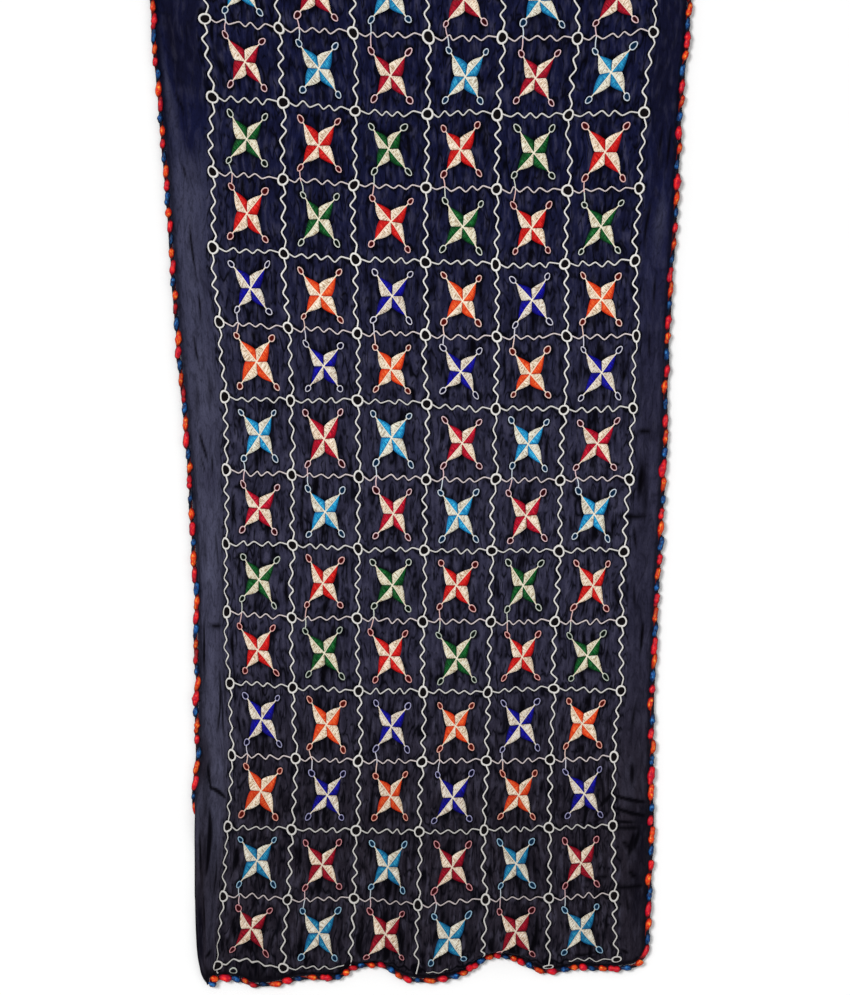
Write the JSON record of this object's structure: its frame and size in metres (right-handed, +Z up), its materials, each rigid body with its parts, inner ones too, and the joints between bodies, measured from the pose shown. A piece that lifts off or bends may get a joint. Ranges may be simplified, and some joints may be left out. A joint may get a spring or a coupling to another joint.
{
  "type": "phulkari shawl",
  "caption": "Long rectangular shawl laid flat, its cloth embroidered all over with stars in a squared lattice and edged with a twisted silk cord.",
  "frame": {"origin": "on the surface that the shawl lies on, under the middle of its box", "axes": "+Y along the shawl from its waved hem to its other end, +X to the right across it, +Z up out of the cloth's face"},
  "size_m": [0.9094, 2.4182, 0.0316],
  "materials": {
    "chiffon": "matt",
    "silk_cord": "satin",
    "gold_thread": "satin",
    "silk_thread": "satin"
  },
  "bodies": {
    "root": {"shawl_cloth": "chiffon", "edge_cord_left": "silk_cord", "edge_cord_right": "silk_cord", "edge_cord_hem": "silk_cord", "edge_cord_top": "silk_cord"}
  },
  "joints": []
}
